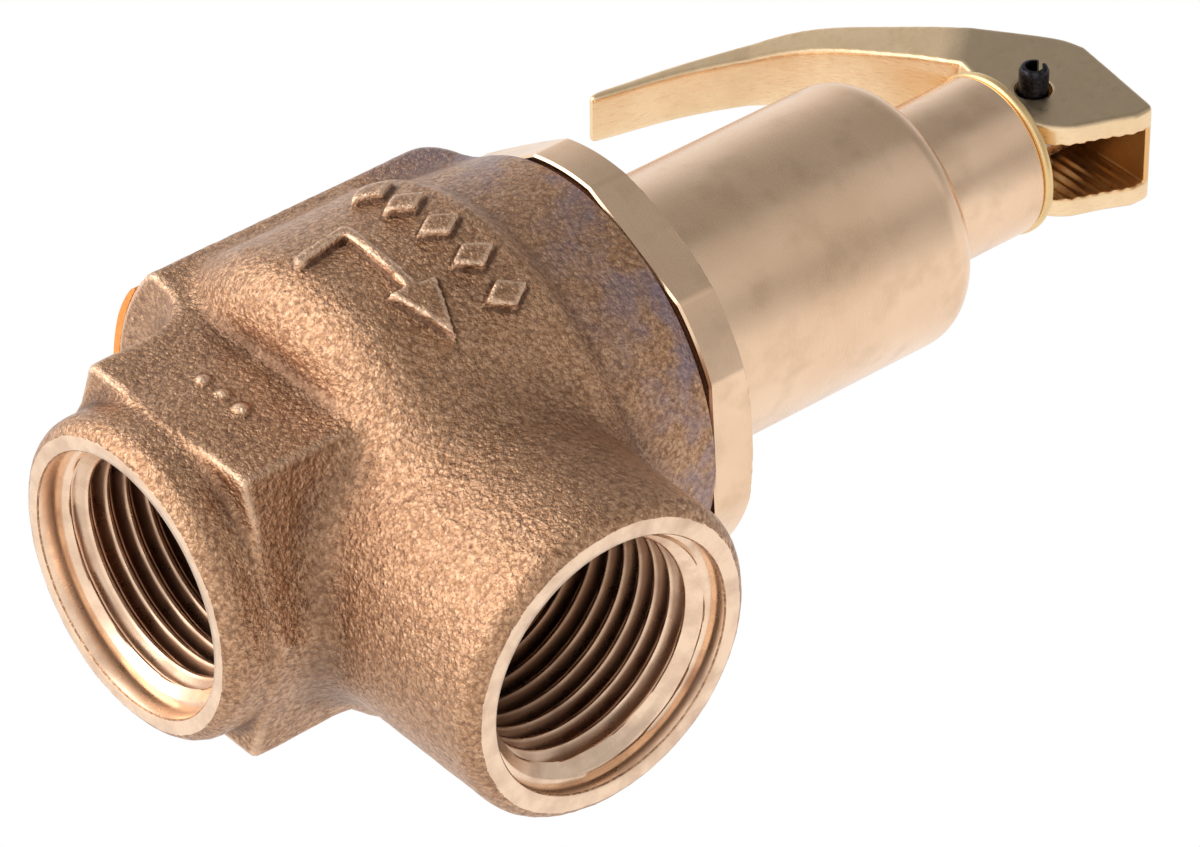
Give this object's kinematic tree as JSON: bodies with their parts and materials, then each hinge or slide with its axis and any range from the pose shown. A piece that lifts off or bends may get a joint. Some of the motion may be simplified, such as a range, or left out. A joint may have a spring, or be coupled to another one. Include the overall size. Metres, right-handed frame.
{
  "type": "pressure relief valve",
  "caption": "Angle-pattern bronze relief valve: threaded inlet below, threaded side outlet, spring housing on top and a curved easing lever over it.",
  "frame": {"origin": "centre of the inlet's machined face, on the valve's axis", "axes": "+Z along the valve's axis from the inlet to the lever, +X out of the side outlet, +Y to the valve's rear flat; the lever's arm lies on the -X side"},
  "size_m": [0.0565, 0.0399, 0.0999],
  "materials": {
    "cast_bronze": "sand-cast bronze, matt and grainy, with machined rims and threads",
    "turned_bronze": "turned bronze, satin, with fine turning lines",
    "turned_brass": "turned brass, satin",
    "lever_brass": "hot-pressed brass, satin, darker on its edges",
    "stainless": "turned stainless steel",
    "spring_steel": "drawn spring wire, dull grey",
    "black_steel": "blackened spring steel, semi-matt",
    "seal_rubber": "moulded black rubber",
    "seal_ptfe": "filled fluoropolymer, off-white",
    "gasket_fibre": "compressed fibre sheet, dark red-brown",
    "orange_label": "blank orange film, semi-matt"
  },
  "bodies": {
    "housing": {"valve_body": "cast_bronze", "rear_label": "orange_label", "seat_ring": "stainless", "guide_plate": "turned_brass", "stem_seal": "seal_rubber", "main_spring": "spring_steel", "upper_spring_plate": "turned_brass", "bonnet_gasket": "gasket_fibre", "bonnet": "turned_bronze", "adjusting_screw": "turned_brass", "spindle_bush": "seal_ptfe", "lock_nut": "turned_brass", "thrust_washer": "turned_brass"},
    "disc": {"valve_disc": "turned_brass", "disc_seal": "seal_ptfe", "seal_retainer": "stainless", "seal_screw": "stainless", "spindle_clip": "spring_steel", "lower_spring_plate": "turned_brass"},
    "spindle": {"spindle": "stainless", "lever_pin": "black_steel"},
    "lever": {"lever": "lever_brass"}
  },
  "joints": [
    {"name": "disc_lift", "type": "slide", "parent": "housing", "child": "disc", "axis": [0, 0, 1], "range_m": [0, 0.00225], "stiffness_N_per_m": 800, "springref_m": -0.004, "deforming": ["main_spring"]},
    {"name": "lever_swivel", "type": "hinge", "parent": "disc", "child": "spindle", "pos_m": [0, 0, 0.0925], "axis": [0, 0, 1], "continuous": true},
    {"name": "lever_pull", "type": "hinge", "parent": "spindle", "child": "lever", "pos_m": [0, 0, 0.0925], "axis": [0, 1, 0], "range_deg": [0, 60]}
  ],
  "couplings": [
    {"joint": "lever_pull", "follows": "disc_lift", "rad_per_m": 465.1}
  ]
}
